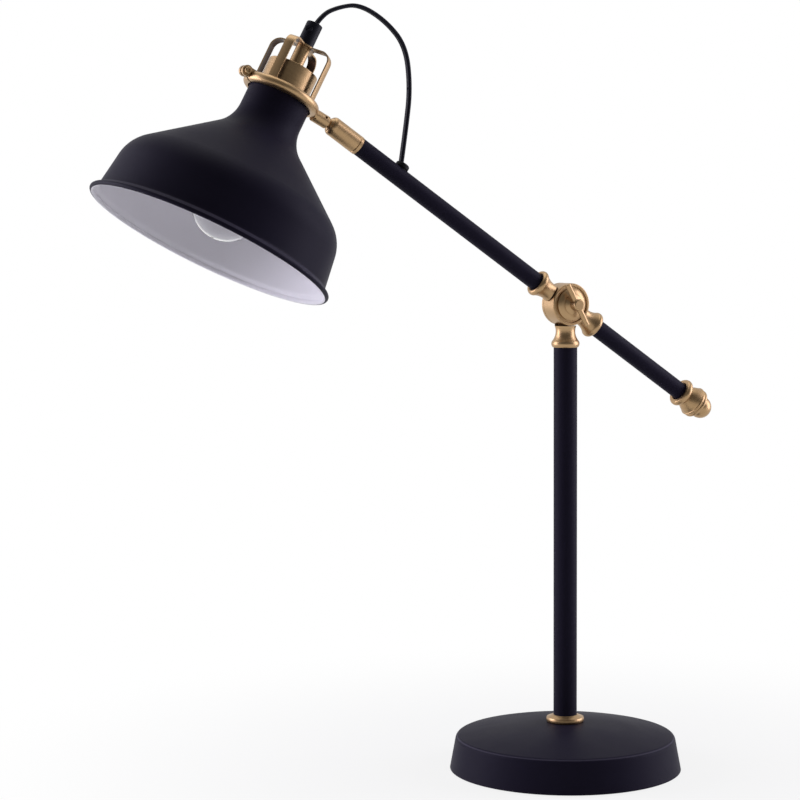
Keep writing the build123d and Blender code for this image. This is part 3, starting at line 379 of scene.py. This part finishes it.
def brass(name, axis, strap=False):
    """Satin antique brass, brushed round its axis; a strap is brushed along it, with painted shade darkening
    its inner face.
    """
    made, tree, shader, place = new_material(name)
    height, radius, turn = turned_place(tree, place, axis)
    if strap:
        slow_height = calc(tree, "MULTIPLY", height, strap_stretch)
        lines = combine(tree, slow_height, calc(tree, "MULTIPLY", turn, strap_spacing), slow_height)
    else:
        lines = combine(tree, height, radius, calc(tree, "MULTIPLY", turn, turned_stretch))
    brushing = noise(tree, lines, brush_scale, detail=2.0)
    tarnish = noise(tree, place, tarnish_scale, detail=4.0)
    mean = calc(tree, "MULTIPLY", calc(tree, "ADD", brushing, tarnish), 0.5)
    colour = between(tree, spread(tree, mean, 0.0, 1.0), brass_dark, brass_pale)
    if strap:
        # painted shade: the inner face of a strap is darkened as if in shadow
        inner_shade = between(tree, tarnish, strap_shade_dark, strap_shade_pale)
        colour = pick(tree, inner_side(tree, place, axis), colour, inner_shade)
    dress(tree, shader, colour, spread(tree, brushing, *brass_roughness))
    shader.inputs["Metallic"].default_value = 1.0
    bump(tree, shader, brushing, brush_depth, brush_strength)
    return made


def plain_metal(name, dark, pale, roughness, blotch_scale=240.0, blotch_depth=0.00004):
    """Plated or cast metal with faint blotches."""
    made, tree, shader, place = new_material(name)
    blotch = noise(tree, place, blotch_scale, detail=4.0)
    dress(tree, shader, between(tree, blotch, dark, pale), spread(tree, blotch, *roughness))
    shader.inputs["Metallic"].default_value = 1.0
    bump(tree, shader, blotch, blotch_depth, strength=0.4)
    return made


def moulded(name, dark, pale, roughness, grain_scale=1800.0, grain_depth=0.00003, drift_scale=90.0):
    """Moulded plastic, rubber or sheath with a fine grain."""
    made, tree, shader, place = new_material(name)
    drift = noise(tree, place, drift_scale)
    grain = noise(tree, place, grain_scale, detail=2.0)
    dress(tree, shader, between(tree, drift, dark, pale), spread(tree, grain, *roughness))
    shader.inputs["Specular IOR Level"].default_value = moulded_gloss
    bump(tree, shader, grain, grain_depth, strength=0.4)
    return made


def felt(name, dark, pale, roughness, fibre_scale=1500.0, fibre_depth=0.0003):
    """Pressed felt of short fibres."""
    made, tree, shader, place = new_material(name)
    fibres = noise(tree, place, fibre_scale, detail=6.0, roughness=0.75)
    dress(tree, shader, between(tree, fibres, dark, pale), spread(tree, fibres, *roughness))
    bump(tree, shader, fibres, fibre_depth, strength=0.8)
    return made


def clear_glass(name, dim, clear, index=1.3, wave_scale=45.0, wave_depth=0.0002):
    """Clear blown glass with a faint wave."""
    made, tree, shader, place = new_material(name)
    wave = noise(tree, place, wave_scale, detail=1.0)
    tree.links.new(between(tree, wave, dim, clear), shader.inputs["Base Color"])
    shader.inputs["Transmission Weight"].default_value = 1.0
    shader.inputs["IOR"].default_value = index
    shader.inputs["Roughness"].default_value = 0.0
    bump(tree, shader, wave, wave_depth, strength=0.3)
    return made


coat = powder_coat("blue_black_powder_coat")
base_coat = powder_coat("base_powder_coat", base_highlight_rise)
steel = plain_metal("zinc_plate", (0.42, 0.43, 0.45), (0.58, 0.59, 0.61), (0.28, 0.42))
iron = plain_metal("cast_iron", (0.05, 0.05, 0.055), (0.11, 0.11, 0.12), (0.6, 0.85))
contact_metal = plain_metal("nickel_contact", (0.52, 0.49, 0.42), (0.66, 0.63, 0.55), (0.18, 0.30))
rubber = moulded("black_rubber", (0.006, 0.006, 0.007), (0.011, 0.011, 0.012), (0.45, 0.6))
sheath = moulded(
    "black_cord_sheath", (0.004, 0.004, 0.009), (0.007, 0.007, 0.015), (0.40, 0.48), grain_scale=900.0
)
plastic = moulded("black_plastic", (0.006, 0.006, 0.011), (0.010, 0.010, 0.018), (0.4, 0.5))
fibre = moulded("pressed_fibre", (0.10, 0.045, 0.02), (0.17, 0.08, 0.04), (0.7, 0.9))
nylon = moulded("natural_nylon", (0.55, 0.54, 0.49), (0.64, 0.63, 0.58), (0.4, 0.55))
phosphor = moulded("filament_phosphor", (0.62, 0.36, 0.06), (0.75, 0.47, 0.10), (0.5, 0.65))
pad_felt = felt("pad_felt", (0.012, 0.012, 0.014), (0.045, 0.045, 0.05), (0.85, 1.0))
glass = clear_glass("clear_glass", (0.97, 0.98, 0.985), (1.0, 1.0, 1.0))
shade_paint = shade_coat("shade_coat_and_enamel")

column_brass = brass("column_brass", column_axis)
pivot_brass = brass("pivot_brass", pivot_axis)
arm_brass = brass("arm_brass", arm_axis)
stub_brass = brass("stub_brass", stub_axis)
ring_brass = brass("ring_brass", shade_axis)
strap_brass = brass("strap_brass", shade_axis, strap=True)

finishes = {
    coat: "column_tube front_arm_tube rear_arm_tube",
    base_coat: "base_shell",
    shade_paint: "shade",
    column_brass: "foot_collar hub_body",
    pivot_brass: "arm_drum clamp_cap clamp_screw",
    arm_brass: "front_ferrule rear_ferrule tail_finial socket_cap clamp_bar",
    stub_brass: "ball_stud",
    ring_brass: "clamp_ring socket_cup spacer_tube ring_screw",
    strap_brass: "cage",
    steel: "column_rod column_washer column_nut column_foot_plug column_top_plug column_nipple "
    "front_nipple rear_nipple end_plug lamp_nipple ring_nut",
    iron: "base_weight",
    pad_felt: "base_pad",
    rubber: "cord_outlet_bush arm_grommet",
    sheath: "arm_lead head_lead column_lead",
    plastic: "cord_grip grip_screw holder_body",
    fibre: "friction_washer",
    nylon: "ball_seat",
    contact_metal: "screw_shell centre_contact bulb_cap",
    glass: "bulb_glass bulb_stem",
    phosphor: "bulb_filaments",
}


def wear(obj, material):
    """Give a piece its one material."""
    obj.data.materials.clear()
    obj.data.materials.append(material)


for material, names in finishes.items():
    for name in names.split():
        wear(nodes[name], material)


# Flat twin cord


def cord_line(name, route):
    """Points along the cord's smooth line, read from a spline that its route steers."""
    curve = bpy.data.curves.new(name + "_line", "CURVE")
    curve.dimensions = "3D"
    curve.resolution_u = cord_steps
    spline = curve.splines.new("NURBS")
    spline.points.add(len(route) - 1)
    for point, (x, z) in zip(spline.points, route):
        point.co = (x, 0, z, 1)
    spline.order_u = cord_order
    spline.use_endpoint_u = True
    holder = link(bpy.data.objects.new(name + "_line", curve))
    bpy.context.view_layer.update()
    read = bpy.data.meshes.new_from_object(holder)
    points = [vertex.co.copy() for vertex in read.vertices]
    bpy.data.objects.remove(holder)
    bpy.data.curves.remove(curve)
    bpy.data.meshes.remove(read)
    return points


def twin_section():
    """Two joined lobes side by side: offsets across the cord and out of its flat side."""
    reach = cord_width / 2 - cord_lobe_radius
    section = []
    for i in range(cord_ring_points):
        turn = 2 * math.pi * i / cord_ring_points
        lean = abs(math.cos(turn))
        inner = cord_lobe_radius**2 - (reach * math.sin(turn)) ** 2
        radius = reach * lean + math.sqrt(inner)
        section.append((radius * math.cos(turn), radius * math.sin(turn)))
    return section


def cord_tube(name, points):
    """A closed mesh tube with the twin section along a line of points."""
    mesh = bmesh.new()
    rings = []
    across = Vector((0, 1, 0))
    for i, point in enumerate(points):
        ahead = points[min(i + 1, len(points) - 1)] - points[max(i - 1, 0)]
        out = ahead.normalized().cross(across)
        rings.append([mesh.verts.new(point + across * a + out * b) for a, b in twin_section()])
    for ring, following in zip(rings, rings[1:]):
        for i in range(cord_ring_points):
            j = (i + 1) % cord_ring_points
            mesh.faces.new((ring[i], ring[j], following[j], following[i]))
    mesh.faces.new(list(reversed(rings[0])))
    mesh.faces.new(rings[-1])
    bmesh.ops.recalc_face_normals(mesh, faces=mesh.faces[:])
    data = bpy.data.meshes.new(name)
    mesh.to_mesh(data)
    mesh.free()
    for polygon in data.polygons:
        polygon.use_smooth = len(polygon.vertices) == 4
    return link(bpy.data.objects.new(name, data))


def make_cord(name, node, points):
    """One stretch of the cord, shown in place of its solid, which is hidden."""
    cord = cord_tube(name, points)
    wear(cord, sheath)
    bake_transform(cord)
    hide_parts(node)


whole_line = cord_line("upper", cord_upper_route) + cord_line("lower", cord_lower_route)[1:]
meeting = next(i for i, point in enumerate(whole_line) if point.z < cord_meeting_height)
upper_points, lower_points = whole_line[: meeting + 1], whole_line[meeting:]
make_cord("twin_cord_upper", "cord_upper", upper_points)
make_cord("twin_cord_lower", "cord_lower", lower_points)


# Floor, world and lamps

toward_camera = Vector((-camera_forward.x, -camera_forward.y, 0)).normalized()
view_right = Vector((camera_forward.y, -camera_forward.x, 0)).normalized()


def make_floor():
    """A wide pale floor, white where it is seen and reflected, that keeps the soft shadow near the base."""
    mesh = bmesh.new()
    bmesh.ops.create_circle(mesh, cap_ends=True, radius=floor_radius, segments=floor_sides)
    data = bpy.data.meshes.new("floor")
    mesh.to_mesh(data)
    mesh.free()
    floor = link(bpy.data.objects.new("floor", data))
    floor.location.z = -floor_drop
    made = bpy.data.materials.new("pale_floor")
    made.use_nodes = True
    tree = made.node_tree
    tree.nodes.clear()
    place = add(tree, "ShaderNodeTexCoord").outputs["Object"]
    far = vector_node(tree, "LENGTH", place)["Value"]
    fade = eased(tree, far, fade_near, fade_far, floor_white_near, floor_white_far)
    path = add(tree, "ShaderNodeLightPath").outputs
    seen = calc(tree, "MAXIMUM", path["Is Camera Ray"], path["Is Glossy Ray"])
    seen = calc(tree, "MAXIMUM", seen, path["Is Transmission Ray"])
    share = calc(tree, "MULTIPLY", seen, fade)
    matte = add(tree, "ShaderNodeBsdfDiffuse", {"Color": floor_matte}).outputs[0]
    plain = add(tree, "ShaderNodeEmission", {"Color": white, "Strength": 1.0}).outputs[0]
    mixed = add(tree, "ShaderNodeMixShader", {0: share, 1: matte, 2: plain}).outputs[0]
    add(tree, "ShaderNodeOutputMaterial", {"Surface": mixed})
    wear(floor, made)


def make_world():
    """White where it is seen, dim in metal and glass on the photograph's side, and plain ambient light."""
    world = bpy.data.worlds.new("studio")
    world.use_nodes = True
    scene.world = world
    tree = world.node_tree
    tree.nodes.clear()
    way = add(tree, "ShaderNodeTexCoord").outputs["Generated"]
    front = vector_node(tree, "DOT_PRODUCT", way, toward_camera)["Value"]
    reflected = eased(tree, front, room_turn_from, room_turn_to, room_behind, room_before)
    path = add(tree, "ShaderNodeLightPath").outputs
    mirror = calc(tree, "MAXIMUM", path["Is Glossy Ray"], path["Is Transmission Ray"])
    unseen = add(tree, "ShaderNodeMix", {"Factor": mirror, "A": ambient, "B": reflected}).outputs["Result"]
    level = add(tree, "ShaderNodeMix", {"Factor": path["Is Camera Ray"], "A": unseen, "B": 1.0})
    strength = level.outputs["Result"]
    light = add(tree, "ShaderNodeBackground", {"Color": white, "Strength": strength}).outputs[0]
    add(tree, "ShaderNodeOutputWorld", {"Surface": light})


def around(angle, distance, height):
    """A place round the object: angle from the camera's side towards its right, in degrees."""
    turn = math.radians(angle)
    side = toward_camera * math.cos(turn) + view_right * math.sin(turn)
    return Vector((aim.x, aim.y, height)) + side * distance


def make_lamp(name, place, size, radiance, colour):
    """A soft rectangular lamp that faces the middle of the object."""
    width, height = size
    data = bpy.data.lights.new(name, "AREA")
    data.shape = "RECTANGLE"
    data.size = width
    data.size_y = height
    data.energy = radiance * math.pi * width * height
    data.color = colour
    lamp = link(bpy.data.objects.new(name, data))
    lamp.location = place
    lamp.rotation_mode = "QUATERNION"
    lamp.rotation_quaternion = (aim - place).to_track_quat("-Z", "Y")
    lamp.visible_camera = False


make_floor()
make_world()
left_place = around(left_lamp_angle, side_lamp_distance, side_lamp_height)
right_place = around(right_lamp_angle, side_lamp_distance, side_lamp_height)
top_place = around(top_lamp_angle, top_lamp_distance, top_lamp_height)
make_lamp("left_softbox", left_place, side_lamp_size, left_lamp_radiance, lamp_tint)
make_lamp("right_softbox", right_place, side_lamp_size, right_lamp_radiance, lamp_tint)
make_lamp("top_softbox", top_place, top_lamp_size, top_lamp_radiance, lamp_plain)
